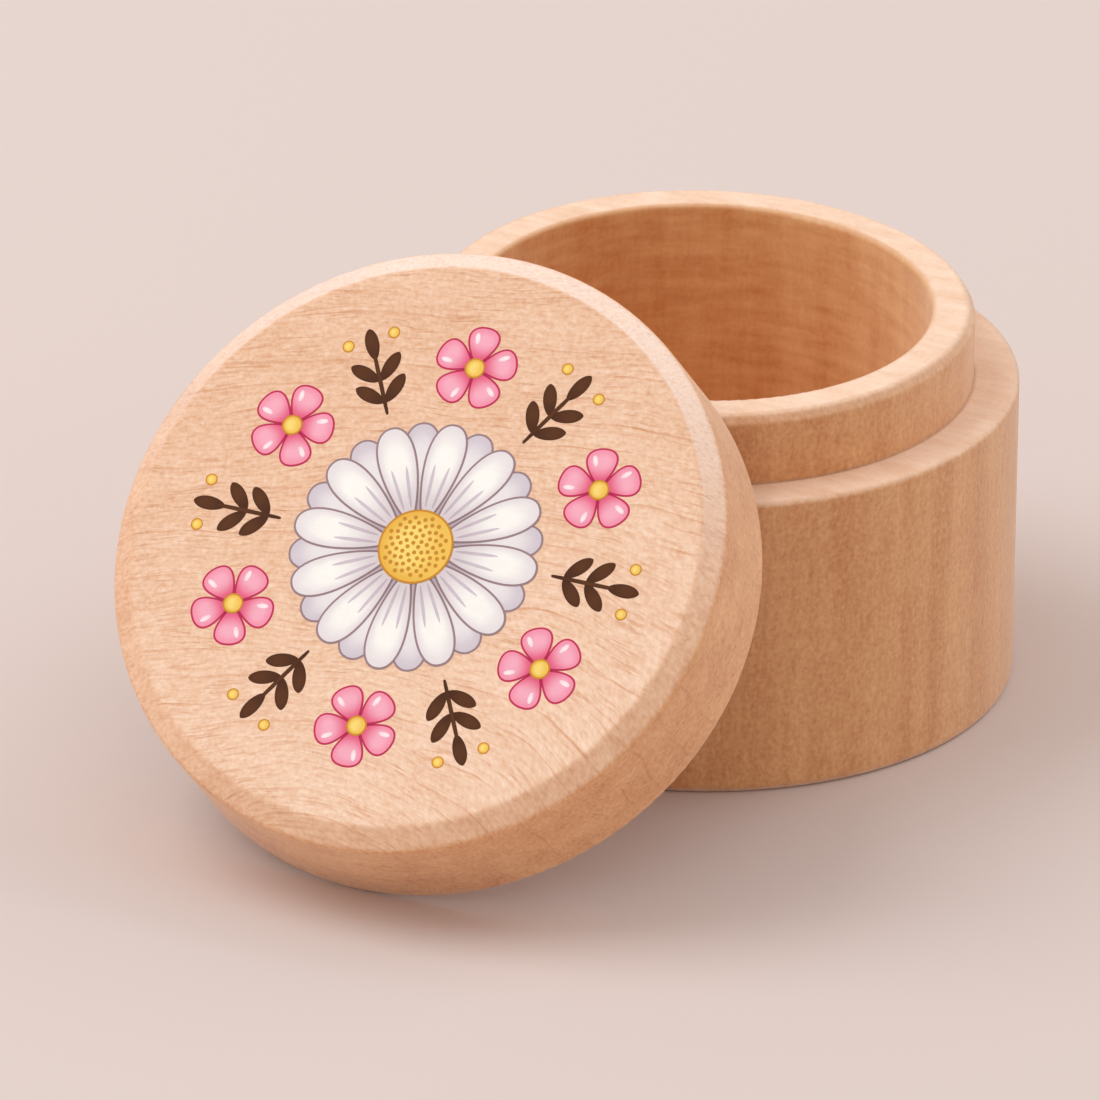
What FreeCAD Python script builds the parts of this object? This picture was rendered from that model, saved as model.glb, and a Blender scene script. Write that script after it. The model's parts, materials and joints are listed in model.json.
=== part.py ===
import FreeCAD, Part
import math
import os

# Small keepsake box turned from beech, with a pull-off lid.
# The box stands with its axis on Z and its foot on Z = 0.
# The lid has been taken off: it stands on its lower edge and leans on the box's rim,
# with its face turned up and towards -Y.
# Lengths are in millimetres, angles in degrees.

# outside of both pieces
BOX_RADIUS = 25.0
SHOULDER_HEIGHT = 25.0

# shoulder that the lid sits on, and the rim inside it that takes the lid
SHOULDER_WIDTH = 3.6
RIM_HEIGHT = 5.9
RIM_WALL = 3.4
RIM_LEAD_IN = 0.5
RIM_LEAD_DEPTH = 0.8

# hollow of the box
FLOOR_THICKNESS = 4.5
BORE_CORNER = 2.0

# lid above its recess, and the recess, with room round the rim and above it
LID_TOP = 4.7
LID_PLAY = 0.2
RECESS_HEADROOM = 0.4
RECESS_CORNER = 0.5

# bevel round the lid's face
BEVEL_WIDTH = 1.7
BEVEL_DROP = 1.1
BEVEL_SOFTENING = 0.6

# sanded edges
EDGE_ROUND = 0.4
RIM_ROUND = 0.4
FOOT_ROUND = 0.5

# the lean of the lid
LEAN_ANGLE = 46.0
LEAN_SIDESTEP = -6.0
LEAN_GAP = 0.15

# sizes that follow
RIM_TOP = SHOULDER_HEIGHT + RIM_HEIGHT
RIM_RADIUS = BOX_RADIUS - SHOULDER_WIDTH
BORE_RADIUS = RIM_RADIUS - RIM_WALL
RECESS_RADIUS = RIM_RADIUS + LID_PLAY
RECESS_DEPTH = RIM_HEIGHT + RECESS_HEADROOM
LID_HEIGHT = RECESS_DEPTH + LID_TOP


def rounded_corner(before, corner, after, rounding):
    """Points where a rounding in a corner starts, has its middle and ends."""
    to_before = (before - corner).normalize()
    to_after = (after - corner).normalize()
    half_angle = to_before.getAngle(to_after) / 2
    reach = rounding / math.tan(half_angle)
    bisector = (to_before + to_after).normalize()
    middle = corner + bisector * (rounding / math.sin(half_angle) - rounding)
    return corner + to_before * reach, middle, corner + to_after * reach


def turned(profile):
    """Solid turned about Z from a closed outline of (radius, height, rounding) corners."""
    corners = [FreeCAD.Vector(radius, 0, height) for radius, height, rounding in profile]
    edges = []
    starts = []
    ends = []
    for i, (radius, height, rounding) in enumerate(profile):
        corner = corners[i]
        if rounding > 0:
            after = corners[(i + 1) % len(corners)]
            start, middle, end = rounded_corner(corners[i - 1], corner, after, rounding)
            edges.append(Part.Arc(start, middle, end).toShape())
        else:
            start = corner
            end = corner
        starts.append(start)
        ends.append(end)
    for i in range(len(corners)):
        edges.append(Part.makeLine(ends[i - 1], starts[i]))
    outline = Part.Wire(Part.__sortEdges__(edges))
    return Part.Face(outline).revolve(FreeCAD.Vector(0, 0, 0), FreeCAD.Vector(0, 0, 1), 360)


def turned_box():
    """Cup with a flat foot, a shoulder for the lid and a rim that stands up inside it."""
    return turned([
        (0, 0, 0),
        (BOX_RADIUS, 0, FOOT_ROUND),
        (BOX_RADIUS, SHOULDER_HEIGHT, EDGE_ROUND),
        (RIM_RADIUS, SHOULDER_HEIGHT, 0),
        (RIM_RADIUS, RIM_TOP - RIM_LEAD_DEPTH, RIM_ROUND),
        (RIM_RADIUS - RIM_LEAD_IN, RIM_TOP, RIM_ROUND),
        (BORE_RADIUS, RIM_TOP, RIM_ROUND),
        (BORE_RADIUS, FLOOR_THICKNESS, BORE_CORNER),
        (0, FLOOR_THICKNESS, 0),
    ])


def upright_lid():
    """Cap with a bevelled face and a round recess below, its lower edge on Z = 0."""
    return turned([
        (0, RECESS_DEPTH, 0),
        (RECESS_RADIUS, RECESS_DEPTH, RECESS_CORNER),
        (RECESS_RADIUS, 0, EDGE_ROUND),
        (BOX_RADIUS, 0, EDGE_ROUND),
        (BOX_RADIUS, LID_HEIGHT - BEVEL_DROP, BEVEL_SOFTENING),
        (BOX_RADIUS - BEVEL_WIDTH, LID_HEIGHT, BEVEL_SOFTENING),
        (0, LID_HEIGHT, 0),
    ])


def leaning(lid, distance):
    """Lid tipped back, standing on the floor at a distance in front of the box's axis."""
    lean = math.radians(LEAN_ANGLE)
    height = (BOX_RADIUS - EDGE_ROUND) * math.sin(lean) + EDGE_ROUND * (1 - math.cos(lean))
    tip = FreeCAD.Rotation(FreeCAD.Vector(1, 0, 0), LEAN_ANGLE)
    place = FreeCAD.Vector(LEAN_SIDESTEP, -distance, height)
    leant = lid.copy()
    leant.Placement = FreeCAD.Placement(place, tip)
    return leant


def lean_distance(lid, box, precision=0.002):
    """Distance at which the leaning lid comes to within LEAN_GAP of the box."""
    near = 0.0
    far = 2 * BOX_RADIUS + LID_HEIGHT
    while far - near > precision:
        middle = (near + far) / 2
        if leaning(lid, middle).distToShape(box)[0] < LEAN_GAP:
            near = middle
        else:
            far = middle
    return far


box = turned_box()
lid = upright_lid()
distance = lean_distance(lid, box)

os.makedirs("parts", exist_ok=True)
box.exportStep("parts/turned_box.step")
leaning(lid, distance).exportStep("parts/turned_lid.step")
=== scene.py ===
import json
import math

import bmesh
import bpy
from mathutils import Matrix, Vector


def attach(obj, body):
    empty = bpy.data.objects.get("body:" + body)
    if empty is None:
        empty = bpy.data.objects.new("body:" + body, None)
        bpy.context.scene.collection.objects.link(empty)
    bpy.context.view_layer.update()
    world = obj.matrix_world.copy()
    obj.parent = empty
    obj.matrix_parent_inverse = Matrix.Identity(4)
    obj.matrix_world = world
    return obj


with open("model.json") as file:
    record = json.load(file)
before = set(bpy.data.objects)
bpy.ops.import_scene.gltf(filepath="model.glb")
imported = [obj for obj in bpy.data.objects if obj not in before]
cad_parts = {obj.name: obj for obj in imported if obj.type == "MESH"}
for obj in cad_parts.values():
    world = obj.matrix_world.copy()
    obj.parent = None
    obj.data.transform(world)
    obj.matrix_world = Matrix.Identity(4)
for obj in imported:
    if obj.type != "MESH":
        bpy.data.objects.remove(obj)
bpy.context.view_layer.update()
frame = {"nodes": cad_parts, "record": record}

scene = bpy.context.scene
scene.view_settings.view_transform = "Standard"


# The view: a long lens, a little above the box and to the right of the lid's face.
# The box's foot is the frame's origin, and the picture's middle lies left of it and above it.
view_azimuth = math.radians(24.16)
view_elevation = math.radians(25.37)
view_roll = math.radians(-1.15)
view_distance = 3.158
view_lens = 1309.0
middle_left = 0.0115
middle_up = 0.00836

view_along = Vector((
    -math.sin(view_azimuth) * math.cos(view_elevation),
    math.cos(view_azimuth) * math.cos(view_elevation),
    -math.sin(view_elevation),
))
level_right = Vector((math.cos(view_azimuth), math.sin(view_azimuth), 0.0))
level_up = level_right.cross(view_along)
view_right = level_right * math.cos(view_roll) - level_up * math.sin(view_roll)
view_up = level_right * math.sin(view_roll) + level_up * math.cos(view_roll)
camera = bpy.data.objects.new("camera", bpy.data.cameras.new("camera"))
scene.collection.objects.link(camera)
camera.matrix_world = Matrix((view_right, view_up, -view_along)).transposed().to_4x4()
camera.location = view_up * middle_up - view_right * middle_left - view_along * view_distance
camera.data.lens = view_lens
camera.data.sensor_fit = "HORIZONTAL"
camera.data.clip_start = 0.1
camera.data.clip_end = 20.0
scene.camera = camera


# The box: one piece of pale beech, turned and bored on a lathe and sanded, with no varnish.
# Its fibres run up and down, so the wall shows fine streaks, and the rim and the shoulder
# show end grain crossed by the wood's rays; the walls' darker, more orange tint is partly painted
# shade.
to_millimetres = 1000.0


def colour(red, green, blue):
    """Linear colour of a shade that is written as it looks on a screen, 0 to 255."""
    shades = [red / 255, green / 255, blue / 255]
    linear = [((s + 0.055) / 1.055) ** 2.4 if s > 0.04045 else s / 12.92 for s in shades]
    return (*linear, 1.0)


def add_node(tree, kind, inputs, **settings):
    """Node with its settings, and its inputs set to values or joined to other nodes' sockets."""
    node = tree.nodes.new(kind)
    for name, value in settings.items():
        setattr(node, name, value)
    for name, value in inputs.items():
        if isinstance(value, bpy.types.NodeSocket):
            tree.links.new(value, node.inputs[name])
        else:
            node.inputs[name].default_value = value
    return node


def add_sum(tree, operation, *values):
    """Result of a sum on numbers."""
    return add_node(tree, "ShaderNodeMath", dict(enumerate(values)), operation=operation).outputs[0]


def add_mix(tree, share, first, second, blend="MIX"):
    """Colour mixed from two colours."""
    inputs = {0: share, 6: first, 7: second}
    return add_node(tree, "ShaderNodeMix", inputs, data_type="RGBA", blend_type=blend).outputs[2]


def add_step(tree, value, low, high):
    """Soft step from 0 at low to 1 at high."""
    inputs = {"Value": value, "From Min": low, "From Max": high}
    return add_node(tree, "ShaderNodeMapRange", inputs, interpolation_type="SMOOTHSTEP").outputs[0]


def add_dot(tree, first, second):
    """How far one vector reaches along another."""
    inputs = {0: first, 1: second}
    return add_node(tree, "ShaderNodeVectorMath", inputs, operation="DOT_PRODUCT").outputs["Value"]


def add_offset(tree, middle):
    """Way from a middle to the place on the piece, in metres."""
    place = add_node(tree, "ShaderNodeTexCoord", {}).outputs["Object"]
    inputs = {0: place, 1: middle}
    return add_node(tree, "ShaderNodeVectorMath", inputs, operation="SUBTRACT").outputs[0]


def new_group(name, inputs, outputs):
    """Shader node group with its sockets, and the nodes that hold them."""
    group = bpy.data.node_groups.new(name, "ShaderNodeTree")
    for socket, kind in inputs.items():
        group.interface.new_socket(socket, in_out="INPUT", socket_type="NodeSocket" + kind)
    for socket, kind in outputs.items():
        group.interface.new_socket(socket, in_out="OUTPUT", socket_type="NodeSocket" + kind)
    return group, group.nodes.new("NodeGroupInput").outputs, group.nodes.new("NodeGroupOutput")


def fibre_noise(tree, grain, rates, detail=2.0):
    """Noise along, across and into the wood; its rates are changes in a millimetre each way."""
    scaled = [add_sum(tree, "MULTIPLY", way, rate) for way, rate in zip(grain, rates)]
    place = add_node(tree, "ShaderNodeCombineXYZ", dict(enumerate(scaled)))
    inputs = {"Vector": place.outputs[0], "Scale": 1.0, "Detail": detail, "Roughness": 0.55}
    return add_node(tree, "ShaderNodeTexNoise", inputs).outputs[0]


def add_tone(tree, tone, noise, weight):
    """Tone raised and lowered by a noise about its middle."""
    about_middle = add_sum(tree, "SUBTRACT", noise, 0.5)
    return add_sum(tree, "MULTIPLY_ADD", about_middle, weight, tone)


wood_places = ("Along", "Across", "Deep", "Turned", "Lit side")
wood_weights = ("Rings", "Pores", "Fibres", "Dust", "Rays", "Bands", "Turning", "Painted side light")
wood_edges = ("Edge", "Fuzz and highlight share")
wood_colours = ("Ground", "Line colour", "Fuzz and highlight colour", "Tint")
wood_sockets = {name: "Float" for name in wood_places + wood_weights + wood_edges}
wood_sockets.update({name: "Color" for name in wood_colours})
wood_results = {"Color": "Color", "Roughness": "Float", "Height": "Float"}
beech, wood_in, wood_out = new_group("sanded beech", wood_sockets, wood_results)

# fibres that wander and ripple
wander_rates = (0.04, 0.06, 0.06)
wander_reach = 5.0
ripple_rates = (0.3, 0.5, 0.5)
ripple_reach = 0.4
grain = [wood_in["Along"], wood_in["Across"], wood_in["Deep"]]
wander = fibre_noise(beech, grain, wander_rates)
ripple = fibre_noise(beech, grain, ripple_rates)
wandered = add_sum(beech, "MULTIPLY_ADD", wander, wander_reach, wood_in["Across"])
bent = add_sum(beech, "MULTIPLY_ADD", ripple, ripple_reach, wandered)
bent_grain = [wood_in["Along"], bent, wood_in["Deep"]]

# dark late wood at the end of each year's ring, broken here and there
ring_width = 2.0
ring_line_span = (0.9, 0.98)
ring_line_strength = 0.6
ring_fade_span = (0.3, 1.0)
ring_fade_strength = 0.18
ring_break_rates = (0.1, 0.25, 0.25)
ring_break_span = (0.35, 0.65)
ring_turn = add_sum(beech, "FRACT", add_sum(beech, "DIVIDE", bent, ring_width))
ring_line = add_sum(beech, "MULTIPLY", add_step(beech, ring_turn, *ring_line_span), ring_line_strength)
ring_fade = add_step(beech, ring_turn, *ring_fade_span)
ring_shade = add_sum(beech, "MULTIPLY_ADD", ring_fade, ring_fade_strength, ring_line)
ring_whole = add_step(beech, fibre_noise(beech, grain, ring_break_rates), *ring_break_span)
rings = add_sum(beech, "MULTIPLY", ring_shade, ring_whole)

# pores as thin dashes along the fibres, thick in some places and sparse in others
pore_rates = (0.3, 4.4, 1.8)
pore_span = (0.54, 0.66)
patch_rates = (0.15, 0.4, 0.4)
patch_span = (0.25, 0.65)
thin = add_step(beech, fibre_noise(beech, bent_grain, pore_rates), *pore_span)
patchy = add_step(beech, fibre_noise(beech, grain, patch_rates), *patch_span)
dashes = add_sum(beech, "MULTIPLY", thin, patchy)
pore_share = add_sum(beech, "MULTIPLY", dashes, wood_in["Pores"])
line_share = add_sum(beech, "MULTIPLY_ADD", rings, wood_in["Rings"], pore_share)
lined = add_mix(beech, line_share, wood_in["Ground"], wood_in["Line colour"])

# tone, raised and lowered by clouds and other marks, with a deeper orange where the wood is darker;
# one mark is painted light, paler on the lit side and darker on the other
deep_tint = (0.84, 0.68, 0.52, 1.0)
pale_tint = (1.14, 1.30, 1.48, 1.0)
middle_tone = 0.5
cloud_rates = (0.12, 0.3, 0.3)
cloud_weight = 0.5
fibre_rates = (1.0, 3.4, 3.4)
dust_rates = (2.8, 2.8, 2.8)
ray_rates = (0.1, 0.8, 0.15)
band_rates = (0.02, 0.45, 0.45)
turning_rates = (1.0, 0.22, 0.22)
# painted light: the side-light mark pales the tone on one side of a piece and darkens it on the other
side_light_reach = 25.0
turned_grain = [wood_in["Turned"], wood_in["Across"], wood_in["Deep"]]
clouds = fibre_noise(beech, grain, cloud_rates, detail=3.0)
fibres = fibre_noise(beech, bent_grain, fibre_rates, detail=3.0)
dust = fibre_noise(beech, grain, dust_rates, detail=3.0)
tone_marks = {
    "Fibres": fibres,
    "Dust": dust,
    "Rays": fibre_noise(beech, grain, ray_rates, detail=3.0),
    "Bands": fibre_noise(beech, grain, band_rates, detail=3.0),
    "Turning": fibre_noise(beech, turned_grain, turning_rates, detail=3.0),
    "Painted side light": add_step(beech, wood_in["Lit side"], -side_light_reach, side_light_reach),
}
tone = add_tone(beech, middle_tone, clouds, cloud_weight)
for weight, mark in tone_marks.items():
    tone = add_tone(beech, tone, mark, wood_in[weight])
tone_inputs = {0: tone, 6: deep_tint, 7: pale_tint}
tones = add_node(beech, "ShaderNodeMix", tone_inputs, data_type="RGBA", clamp_factor=False)
toned = add_mix(beech, 1.0, lined, tones.outputs[2], "MULTIPLY")
tinted = add_mix(beech, 1.0, toned, wood_in["Tint"], "MULTIPLY")

# fuzz that sanding leaves on the edges, in a pale colour that also paints a highlight along them
fuzz_and_highlight_rates = (3.0, 5.0, 5.0)
fuzz_and_highlight_span = (-0.2, 0.8)
fuzz_and_highlight = add_step(beech, fibre_noise(beech, grain, fuzz_and_highlight_rates, detail=3.0), *fuzz_and_highlight_span)
edge_fuzz_and_highlight = add_sum(beech, "MULTIPLY", fuzz_and_highlight, wood_in["Edge"])
fuzz_and_highlight_share = add_sum(beech, "MULTIPLY", edge_fuzz_and_highlight, wood_in["Fuzz and highlight share"])
fuzzed_and_highlit = add_mix(beech, fuzz_and_highlight_share, tinted, wood_in["Fuzz and highlight colour"])
beech.links.new(fuzzed_and_highlit, wood_out.inputs["Color"])

# gloss and relief of the raised fibres, and of the pores between them
least_roughness = 0.5
fibre_roughness = 0.25
pore_relief = -0.5
roughness = add_sum(beech, "MULTIPLY_ADD", fibres, fibre_roughness, least_roughness)
raised_fibres = add_sum(beech, "MULTIPLY", fibres, wood_in["Fibres"])
raised_dust = add_sum(beech, "MULTIPLY_ADD", dust, wood_in["Dust"], raised_fibres)
relief = add_sum(beech, "MULTIPLY_ADD", dashes, pore_relief, raised_dust)
beech.links.new(roughness, wood_out.inputs["Roughness"])
beech.links.new(relief, wood_out.inputs["Height"])

# walls, bored walls and edges of a turned piece, told apart by the way that they face
bored_span = (0.002, 0.012)
face_span = (0.86, 1.0)
edge_span = (0.2, 0.85)
faces_sockets = {"Facing": "Vector", "Middle": "Vector", "Axis": "Vector"}
faces_results = {"Wall": "Float", "Bored": "Float", "Edge": "Float"}
turned_faces, faces_in, faces_out = new_group("turned faces", faces_sockets, faces_results)
offset = add_offset(turned_faces, faces_in["Middle"])
upright = add_dot(turned_faces, faces_in["Facing"], faces_in["Axis"])
outward = add_dot(turned_faces, faces_in["Facing"], offset)
height = add_dot(turned_faces, offset, faces_in["Axis"])
inward = add_sum(turned_faces, "SUBTRACT", add_sum(turned_faces, "MULTIPLY", upright, height), outward)
bored = add_step(turned_faces, inward, *bored_span)
flatness = add_sum(turned_faces, "ABSOLUTE", upright)
flat_square = add_sum(turned_faces, "MULTIPLY", flatness, flatness)
wall = add_sum(turned_faces, "SQRT", add_sum(turned_faces, "SUBTRACT", 1.0, flat_square))
off_face = add_sum(turned_faces, "SUBTRACT", 1.0, add_step(turned_faces, flatness, *face_span))
edge = add_sum(turned_faces, "MULTIPLY", add_step(turned_faces, flatness, *edge_span), off_face)
turned_faces.links.new(wall, faces_out.inputs["Wall"])
turned_faces.links.new(bored, faces_out.inputs["Bored"])
turned_faces.links.new(edge, faces_out.inputs["Edge"])

# edges softened by sanding, and painted shade: a dark line in the inner corners
soft_edge = 0.0004
corner_shade_reach = 0.0004
corner_shade_span = (0.45, 0.9)
corner_shade_tint = (0.62, 0.36, 0.18, 1.0)
edge_samples = 6


def wood_material(name, grain_places, middle, axis, weights, tints, finish):
    """Sanded wood of a turned piece; weights and tints are for flat faces, walls and bored walls, and
    the wall tints are partly painted shade, as is the darkening in inner corners.
    """
    material = bpy.data.materials.new(name)
    material.use_nodes = True
    tree = material.node_tree
    soft = add_node(tree, "ShaderNodeBevel", {"Radius": soft_edge}, samples=edge_samples)
    facing = soft.outputs["Normal"]
    turned_inputs = {"Facing": facing, "Middle": middle, "Axis": axis}
    turned = add_node(tree, "ShaderNodeGroup", turned_inputs, node_tree=turned_faces).outputs
    inputs = {**grain_places(tree), **finish, "Edge": turned["Edge"]}
    for socket, (on_face, on_wall, in_bore) in weights.items():
        outside = add_sum(tree, "MULTIPLY_ADD", turned["Wall"], on_wall - on_face, on_face)
        inputs[socket] = add_sum(tree, "MULTIPLY_ADD", turned["Bored"], in_bore - on_wall, outside)
    face_tint, wall_tint_and_shade, bore_tint_and_shade = tints
    outside_tint_and_shade = add_mix(tree, turned["Wall"], face_tint, wall_tint_and_shade)
    whole_tint_and_shade = add_mix(tree, turned["Bored"], outside_tint_and_shade, bore_tint_and_shade)
    # painted shade: where ambient occlusion finds the wood closed in, the tint turns dark brown
    corner_shade_inputs = {"Distance": corner_shade_reach}
    corner_shade_settings = {"samples": edge_samples, "only_local": True}
    corner_shade = add_node(tree, "ShaderNodeAmbientOcclusion", corner_shade_inputs, **corner_shade_settings)
    unshaded_share = add_step(tree, corner_shade.outputs["AO"], *corner_shade_span)
    inputs["Tint"] = add_mix(tree, unshaded_share, corner_shade_tint, whole_tint_and_shade)
    wood = add_node(tree, "ShaderNodeGroup", inputs, node_tree=beech).outputs
    bump = add_node(tree, "ShaderNodeBump", {
        "Height": wood["Height"], "Strength": 0.5, "Distance": 0.00005, "Normal": facing})
    shader = tree.nodes["Principled BSDF"]
    shader.inputs["Sheen Weight"].default_value = 0.5
    shader.inputs["Sheen Tint"].default_value = colour(255, 246, 238)
    tree.links.new(wood["Color"], shader.inputs["Base Color"])
    tree.links.new(wood["Roughness"], shader.inputs["Roughness"])
    tree.links.new(bump.outputs[0], shader.inputs["Normal"])
    return material


def box_places(tree):
    """Grain of the box, in millimetres: fibres up and down, and painted light, paler on the right and
    darker on the left.
    """
    place = add_node(tree, "ShaderNodeTexCoord", {}).outputs["Object"]
    scale_inputs = {0: place, "Scale": to_millimetres}
    scaled = add_node(tree, "ShaderNodeVectorMath", scale_inputs, operation="SCALE")
    right, deep, up = add_node(tree, "ShaderNodeSeparateXYZ", {0: scaled.outputs[0]}).outputs
    return {"Along": up, "Across": deep, "Deep": right, "Turned": up, "Lit side": right}


box_middle = (0.0, 0.0, 0.0)
box_axis = (0.0, 0.0, 1.0)
box_weights = {
    "Rings": (0.1, 0.05, 0.0),
    "Pores": (0.0, 0.15, 0.1),
    "Fibres": (0.25, 1.0, 0.4),
    "Dust": (0.4, 1.6, 0.5),
    "Rays": (0.9, 0.0, 0.0),
    "Bands": (0.3, 1.4, 1.0),
    "Turning": (0.0, 0.4, 1.4),
    "Painted side light": (0.0, 0.7, 0.7),
}
plain_tint = (1.0, 1.0, 1.0, 1.0)
# the wall and bore tints are partly the wood's tone and partly painted shade, darker and more orange
# than the flat faces
box_wall_tint_and_shade = (0.72, 0.47, 0.255, 1.0)
box_bore_tint_and_shade = (0.835, 0.63, 0.36, 1.0)
box_tints = (plain_tint, box_wall_tint_and_shade, box_bore_tint_and_shade)
# the pale fuzz colour on the edges is also a painted highlight
box_finish = {
    "Ground": colour(244, 206, 176),
    "Line colour": colour(212, 150, 104),
    "Fuzz and highlight colour": colour(250, 220, 194),
    "Fuzz and highlight share": 0.3,
}
box_wood = wood_material(
    "box_wood", box_places, box_middle, box_axis, box_weights, box_tints, box_finish)
frame["nodes"]["turned_box"].data.materials.clear()
frame["nodes"]["turned_box"].data.materials.append(box_wood)


# The lid: turned from another piece of the same wood, whose fibres lie across its face.
# The face cuts through the tree's rings, so its lines run across in arches, tighter at the bottom.
# The lid is held by its fit on the rim alone, and here it is off and leans on the box.
lid_face = next(mount for mount in frame["record"]["mounts"] if mount["name"] == "lid_face")
lid_middle = Vector(lid_face["pos_m"])
lid_out = Vector(lid_face["axis"]).normalized()
lid_right = Vector((1.0, 0.0, 0.0))
lid_up = lid_out.cross(lid_right)


def lid_distance(tree, direction):
    """Distance from the middle of the lid's face along a direction, in millimetres."""
    return add_dot(tree, add_offset(tree, lid_middle), direction * to_millimetres)


# places along the fibres, which arch over the face, across them and into the wood
grain_turn = math.radians(11.0)
grain_right = lid_right * math.cos(grain_turn) + lid_up * math.sin(grain_turn)
grain_up = lid_up * math.cos(grain_turn) - lid_right * math.sin(grain_turn)
arch_middle = -11.0
arch_radius = 150.0
arch_doubling = 10.0
lid_grain_results = {"Along": "Float", "Across": "Float", "Deep": "Float"}
lid_grain, _, lid_grain_out = new_group("lid grain", {}, lid_grain_results)
along_grain = lid_distance(lid_grain, grain_right)
up_grain = lid_distance(lid_grain, grain_up)
widening = add_sum(lid_grain, "POWER", 2.0, add_sum(lid_grain, "DIVIDE", up_grain, arch_doubling))
arch_diameter = add_sum(lid_grain, "MULTIPLY", widening, 2 * arch_radius)
aside = add_sum(lid_grain, "SUBTRACT", along_grain, arch_middle)
aside_square = add_sum(lid_grain, "MULTIPLY", aside, aside)
arch_drop = add_sum(lid_grain, "DIVIDE", aside_square, arch_diameter)
across_grain = add_sum(lid_grain, "ADD", up_grain, arch_drop)
lid_grain.links.new(along_grain, lid_grain_out.inputs["Along"])
lid_grain.links.new(across_grain, lid_grain_out.inputs["Across"])
lid_grain.links.new(lid_distance(lid_grain, lid_out), lid_grain_out.inputs["Deep"])

# painted light: the lid is painted paler towards the lower right
lit_towards = lid_right * 0.6 - lid_up * 0.8
# painted highlight: the pale edge colour rises towards the top of the lid
lid_highlight_span = (-5.0, 22.0)
lid_fuzz_and_highlight_least = 0.12
lid_highlight_rise = 0.65


def lid_places(tree):
    """Grain of the lid, with painted light that makes it paler at the lower right, and a painted
    highlight of pale edge colour rising towards the top.
    """
    lid_ways = add_node(tree, "ShaderNodeGroup", {}, node_tree=lid_grain).outputs
    highlight_rise = add_step(tree, lid_distance(tree, lid_up), *lid_highlight_span)
    return {
        "Along": lid_ways["Along"],
        "Across": lid_ways["Across"],
        "Deep": lid_ways["Deep"],
        "Turned": lid_ways["Deep"],
        "Lit side": lid_distance(tree, lit_towards),
        "Fuzz and highlight share": add_sum(tree, "MULTIPLY_ADD", highlight_rise, lid_highlight_rise, lid_fuzz_and_highlight_least),
    }


lid_weights = {
    "Rings": (0.7, 0.6, 0.3),
    "Pores": (0.5, 0.4, 0.3),
    "Fibres": (1.2, 1.3, 0.6),
    "Dust": (1.0, 1.1, 0.6),
    "Rays": (0.0, 0.0, 0.0),
    "Bands": (0.0, 1.2, 0.4),
    "Turning": (0.0, 0.3, 0.8),
    "Painted side light": (0.25, 0.0, 0.0),
}
# the side tint is partly the wood's tone and partly painted shade, darker and more orange than the
# face
lid_side_tint_and_shade = (0.88, 0.63, 0.355, 1.0)
lid_tints = (plain_tint, lid_side_tint_and_shade, lid_side_tint_and_shade)
# the pale fuzz colour on the edges is also a painted highlight
lid_finish = {
    "Ground": colour(243, 202, 170),
    "Line colour": colour(214, 146, 98),
    "Fuzz and highlight colour": colour(255, 240, 232),
}
lid_wood = wood_material(
    "lid_wood", lid_places, lid_middle, lid_out, lid_weights, lid_tints, lid_finish)
frame["nodes"]["turned_lid"].data.materials.clear()
frame["nodes"]["turned_lid"].data.materials.append(lid_wood)


# The daisy printed on the middle of the lid's face: two rows of white petals with grey outlines,
# veins on the front row, and a yellow centre with a spiral of stipple dots. Like the whole print,
# it is laid on the bare wood in thin passes of ink, and the wood's fibres show through a little.
millimetre = 0.001
ink_pass = 0.012 * millimetre
film_rings = (1.0, 0.9, 0.75, 0.55, 0.3)


def spread(points, margin):
    """Outline moved outwards by a margin, or inwards by one below zero."""
    moved = []
    for i, point in enumerate(points):
        along = points[(i + 1) % len(points)] - points[i - 1]
        moved.append(point + Vector((along.y, -along.x)).normalized() * margin)
    return moved


def disc(radius, count=40):
    """Round outline about the middle."""
    turns = [2 * math.pi * i / count for i in range(count)]
    return [Vector((math.cos(turn), math.sin(turn))) * radius for turn in turns]


def petal(length, width, fullness, sharpness, count=44):
    """Outline of a petal or leaf from its foot at the middle, wider at its tip than at its foot."""
    points = []
    for i in range(count):
        turn = 2 * math.pi * i / count
        share = (1 - math.cos(turn)) / 2
        bulge = fullness + (1 - fullness) * share
        side = math.copysign(abs(math.sin(turn)) ** sharpness, -math.sin(turn))
        points.append(Vector((length * share, width / 2 * bulge * side)))
    return points


def placed(points, out, turn, middle=Vector((0.0, 0.0))):
    """Outline shifted out along its own direction, turned, and moved to a middle."""
    turned = Matrix.Rotation(turn, 2)
    return [middle + turned @ (point + Vector((out, 0.0))) for point in points]


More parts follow.
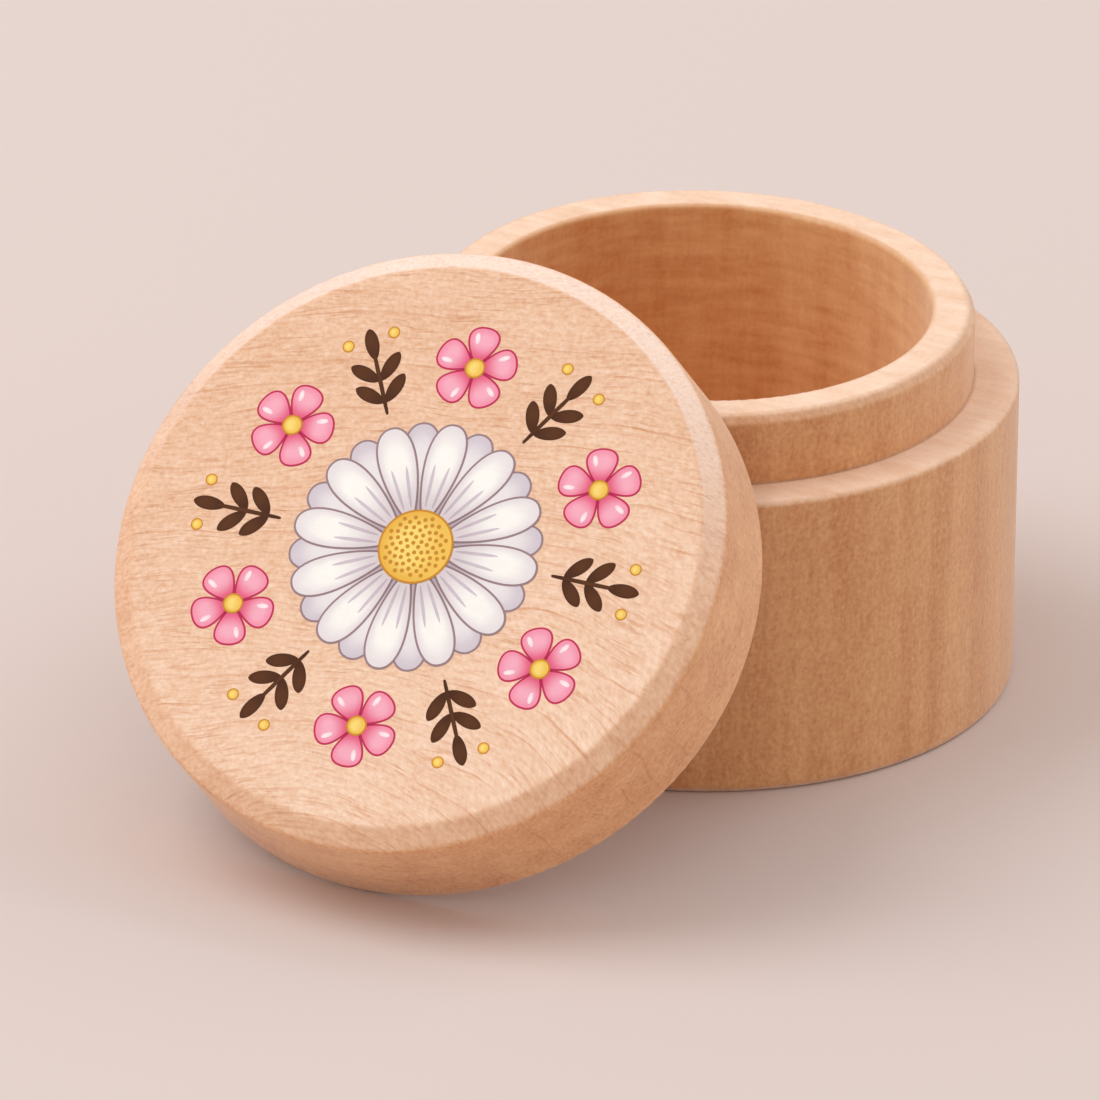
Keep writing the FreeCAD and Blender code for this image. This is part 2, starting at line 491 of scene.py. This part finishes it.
def ink_film(name, outlines, passes, material):
    """Closed film of ink on the lid's face, from outlines in millimetres about its middle."""
    film = bmesh.new()
    inward = film.verts.layers.float.new("inward")
    outward = film.verts.layers.float.new("outward")

    def add_point(point, height):
        right, up = point * millimetre
        return film.verts.new(lid_middle + lid_right * right + lid_up * up + lid_out * height)

    for outline in outlines:
        heart = sum(outline, Vector((0.0, 0.0))) / len(outline)
        count = len(outline)
        below = [add_point(point, 0.0) for point in outline]
        rows = [below]
        for size in film_rings:
            row = []
            for i, point in enumerate(outline):
                vert = add_point(heart + (point - heart) * size, ink_pass * passes)
                vert[inward] = 1 - size
                share = (1 - math.cos(2 * math.pi * i / count)) / 2
                vert[outward] = 0.5 + (share - 0.5) * size
                row.append(vert)
            rows.append(row)
        for outer, inner in zip(rows, rows[1:]):
            for i in range(count):
                film.faces.new((outer[i - 1], outer[i], inner[i], inner[i - 1]))
        film.faces.new(rows[-1])
        film.faces.new(reversed(below))
    bmesh.ops.recalc_face_normals(film, faces=film.faces)
    mesh = bpy.data.meshes.new(name)
    film.to_mesh(mesh)
    film.free()
    mesh.materials.append(material)
    piece = bpy.data.objects.new(name, mesh)
    scene.collection.objects.link(piece)
    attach(piece, "lid")


ink_sockets = {name: "Float" for name in ("Inward", "Outward", "Along", "Across", "Deep")}
ink_sockets.update({name: "Color" for name in ("Rim", "Body", "Foot")})
ink_results = {"Color": "Color", "Height": "Float"}
printed_ink, ink_in, ink_out = new_group("printed ink", ink_sockets, ink_results)

# shades that wash from the rim of a film inwards, and from its foot outwards
rim_wash_span = (0.0, 0.55)
foot_wash_span = (0.05, 0.6)
rim_wash = add_step(printed_ink, ink_in["Inward"], *rim_wash_span)
foot_wash = add_step(printed_ink, ink_in["Outward"], *foot_wash_span)
rim_washed = add_mix(printed_ink, rim_wash, ink_in["Rim"], ink_in["Body"])
foot_washed = add_mix(printed_ink, foot_wash, ink_in["Foot"], rim_washed)

# clouds in the ink, and the fibres of the wood under it
ink_cloud_rates = (0.7, 0.7, 0.7)
ink_cloud_weight = 0.1
ink_fibre_rates = (2.0, 6.0, 6.0)
ink_fibre_weight = 0.08
ink_least_light = 0.91
ink_grain = [ink_in["Along"], ink_in["Across"], ink_in["Deep"]]
ink_clouds = fibre_noise(printed_ink, ink_grain, ink_cloud_rates, detail=3.0)
ink_fibres = fibre_noise(printed_ink, ink_grain, ink_fibre_rates, detail=3.0)
fibre_light = add_sum(printed_ink, "MULTIPLY_ADD", ink_fibres, ink_fibre_weight, ink_least_light)
ink_light = add_sum(printed_ink, "MULTIPLY_ADD", ink_clouds, ink_cloud_weight, fibre_light)
ink_colour = add_mix(printed_ink, 1.0, foot_washed, ink_light, "MULTIPLY")
printed_ink.links.new(ink_colour, ink_out.inputs["Color"])
printed_ink.links.new(ink_fibres, ink_out.inputs["Height"])


def ink_material(name, rim, body, foot):
    """Satin ink that goes from one shade at its rim to another inside, and a third at its foot."""
    material = bpy.data.materials.new(name)
    material.use_nodes = True
    tree = material.node_tree
    lid_ways = add_node(tree, "ShaderNodeGroup", {}, node_tree=lid_grain).outputs
    inputs = {"Rim": colour(*rim), "Body": colour(*body), "Foot": colour(*foot)}
    inputs.update({way: lid_ways[way] for way in ("Along", "Across", "Deep")})
    for socket, layer in (("Inward", "inward"), ("Outward", "outward")):
        inputs[socket] = add_node(tree, "ShaderNodeAttribute", {}, attribute_name=layer).outputs["Fac"]
    ink = add_node(tree, "ShaderNodeGroup", inputs, node_tree=printed_ink).outputs
    bump = add_node(tree, "ShaderNodeBump", {
        "Height": ink["Height"], "Strength": 0.3, "Distance": 0.00003})
    shader = tree.nodes["Principled BSDF"]
    shader.inputs["Roughness"].default_value = 0.5
    shader.inputs["Specular IOR Level"].default_value = 0.12
    tree.links.new(ink["Color"], shader.inputs["Base Color"])
    tree.links.new(bump.outputs[0], shader.inputs["Normal"])
    return material


grey_line = ink_material("ink_grey_line", (158, 132, 138), (158, 132, 138), (146, 120, 126))
white_ink = ink_material("ink_white", (236, 229, 232), (255, 253, 249), (220, 209, 214))
shade_ink = ink_material("ink_shaded_white", (214, 204, 214), (240, 234, 237), (186, 172, 182))
vein_ink = ink_material("ink_vein", (216, 204, 214), (210, 197, 208), (196, 180, 192))
gold_line = ink_material("ink_gold_line", (206, 142, 48), (206, 142, 48), (206, 142, 48))
yellow_ink = ink_material("ink_yellow", (240, 186, 76), (254, 224, 122), (246, 200, 92))

daisy_petals = 12
daisy_step = 2 * math.pi / daisy_petals
daisy_foot = 2.2
daisy_line = 0.17
daisy_petal = petal(length=8.2, width=4.2, fullness=0.45, sharpness=0.9)
centre_radius = 3.1
vein_foot = centre_radius + 0.2
vein_lean = 0.09
vein = petal(length=3.6, width=0.3, fullness=0.8, sharpness=1.2)
back_row = [placed(daisy_petal, daisy_foot, (i + 0.5) * daisy_step) for i in range(daisy_petals)]
front_row = [placed(daisy_petal, daisy_foot, i * daisy_step) for i in range(daisy_petals)]
veins = []
for i in range(daisy_petals):
    for lean in (-vein_lean, vein_lean):
        veins.append(placed(vein, vein_foot, i * daisy_step + lean))
ink_film("print_daisy_back_line", back_row, 1, grey_line)
ink_film("print_daisy_back", [spread(outline, -daisy_line) for outline in back_row], 2, shade_ink)
ink_film("print_daisy_front_line", front_row, 3, grey_line)
ink_film("print_daisy_front", [spread(outline, -daisy_line) for outline in front_row], 4, white_ink)
ink_film("print_daisy_veins", veins, 5, vein_ink)
ink_film("print_daisy_centre_line", [disc(centre_radius)], 6, gold_line)
ink_film("print_daisy_centre", [disc(centre_radius - daisy_line)], 7, yellow_ink)

stipple_count = 70
stipple = disc(radius=0.17, count=12)
stipple_reach = centre_radius - 0.5
golden_turn = math.pi * (3 - math.sqrt(5))
stipples = []
for i in range(stipple_count):
    reach = stipple_reach * math.sqrt((i + 0.5) / stipple_count)
    stipples.append(placed(stipple, reach, i * golden_turn))
ink_film("print_daisy_stipple", stipples, 8, gold_line)


# The blossoms in a ring round the daisy: five round petals each, in pink ink with a darker outline.
# Each petal has a pale light printed near its tip, and each blossom a yellow eye.
pink_line = ink_material("ink_pink_line", (198, 52, 92), (198, 52, 92), (186, 44, 84))
pink_ink = ink_material("ink_pink", (247, 152, 178), (250, 178, 198), (232, 88, 130))
gloss_ink = ink_material("ink_gloss", (253, 222, 232), (255, 240, 244), (253, 222, 232))

ring_top = math.pi / 2
blossom_count = 6
blossom_step = 2 * math.pi / blossom_count
blossom_ring = 15.2
blossom_petals = 5
blossom_foot = 0.3
blossom_line = 0.16
blossom_petal = petal(length=3.2, width=3.6, fullness=0.35, sharpness=0.95)
gloss_foot = 2.0
gloss_lean = 0.22
gloss = petal(length=0.95, width=0.42, fullness=0.9, sharpness=0.9, count=20)
eye_radius = 0.85
eye_line = 0.14
for i in range(blossom_count):
    place_turn = ring_top + i * blossom_step
    middle = Vector((math.cos(place_turn), math.sin(place_turn))) * blossom_ring
    turns = [place_turn + 2 * math.pi * k / blossom_petals for k in range(blossom_petals)]
    petals = [placed(blossom_petal, blossom_foot, turn, middle) for turn in turns]
    lights = [placed(gloss, gloss_foot, turn + gloss_lean, middle) for turn in turns]
    name = f"print_blossom_{i + 1}"
    ink_film(name + "_line", petals, 1, pink_line)
    ink_film(name, [spread(outline, -blossom_line) for outline in petals], 2, pink_ink)
    ink_film(name + "_lights", lights, 3, gloss_ink)
    ink_film(name + "_eye_line", [placed(disc(eye_radius), 0.0, 0.0, middle)], 3, gold_line)
    ink_film(name + "_eye", [placed(disc(eye_radius - eye_line), 0.0, 0.0, middle)], 4, yellow_ink)


# The sprigs between the blossoms, in brown ink: a stem with two pairs of leaves and one at its top.
# Two yellow buds with a gold outline stand beside the top leaf of each.
brown_ink = ink_material("ink_brown", (84, 45, 20), (92, 51, 24), (76, 40, 17))

sprig_foot = 11.6
stem = petal(length=5.4, width=0.36, fullness=0.9, sharpness=0.35)
leaf = petal(length=2.7, width=1.25, fullness=0.8, sharpness=1.25)
leaf_foot = 0.1
leaf_lean = math.radians(46.0)
leaf_pairs = (1.0, 2.9)
top_leaf = 4.8
bud = disc(radius=0.5, count=24)
bud_ring = 18.2
bud_aside = 1.9
bud_line = 0.1
stems = []
leaves = []
buds = []
for i in range(blossom_count):
    turn = ring_top + (i + 0.5) * blossom_step
    out = Vector((math.cos(turn), math.sin(turn)))
    across = Vector((-out.y, out.x))
    stems.append(placed(stem, sprig_foot, turn))
    leaves.append(placed(leaf, 0.0, turn, out * (sprig_foot + top_leaf)))
    for reach in leaf_pairs:
        for side in (-1, 1):
            leaves.append(placed(leaf, leaf_foot, turn + side * leaf_lean, out * (sprig_foot + reach)))
    for side in (-1, 1):
        buds.append(placed(bud, 0.0, 0.0, out * bud_ring + across * side * bud_aside))
ink_film("print_leaves", leaves, 1, brown_ink)
ink_film("print_stems", stems, 2, brown_ink)
ink_film("print_bud_lines", buds, 1, gold_line)
ink_film("print_buds", [spread(outline, -bud_line) for outline in buds], 2, yellow_ink)


# The studio: a plain pale matt floor, just clear of the box's foot, and white light from all round.
# A wide soft light overhead on the left models the lid's face, and a weaker one behind on the
# right brightens the rim and the floor.
floor_reach = 4.0
floor_height = -0.00005
floor_mesh = bpy.data.meshes.new("floor")
floor_corners = [
    (-floor_reach, -floor_reach, floor_height),
    (floor_reach, -floor_reach, floor_height),
    (floor_reach, floor_reach, floor_height),
    (-floor_reach, floor_reach, floor_height),
]
floor_mesh.from_pydata(floor_corners, [], [(0, 1, 2, 3)])
floor = bpy.data.objects.new("floor", floor_mesh)
scene.collection.objects.link(floor)
floor_paint = bpy.data.materials.new("floor_paint")
floor_paint.use_nodes = True
floor_shader = floor_paint.node_tree.nodes["Principled BSDF"]
floor_shader.inputs["Base Color"].default_value = colour(216, 202, 197)
floor_shader.inputs["Roughness"].default_value = 0.9
floor_mesh.materials.append(floor_paint)

light_target = Vector((0.0, -0.02, 0.02))


def soft_light(name, place, size, power):
    """Square soft light that faces the box and the lid."""
    lamp = bpy.data.lights.new(name, "AREA")
    lamp.size = size
    lamp.energy = power
    light = bpy.data.objects.new(name, lamp)
    light.location = place
    light.rotation_euler = (light_target - Vector(place)).to_track_quat("-Z", "Y").to_euler()
    scene.collection.objects.link(light)


soft_light("overhead_light", place=(-0.45, -0.16, 0.63), size=0.6, power=2.8)
soft_light("back_light", place=(0.45, 0.6, 0.6), size=0.5, power=1.7)
world = bpy.data.worlds.new("studio")
scene.world = world
world.use_nodes = True
world_light = world.node_tree.nodes["Background"]
world_light.inputs["Color"].default_value = colour(255, 250, 246)
world_light.inputs["Strength"].default_value = 0.72
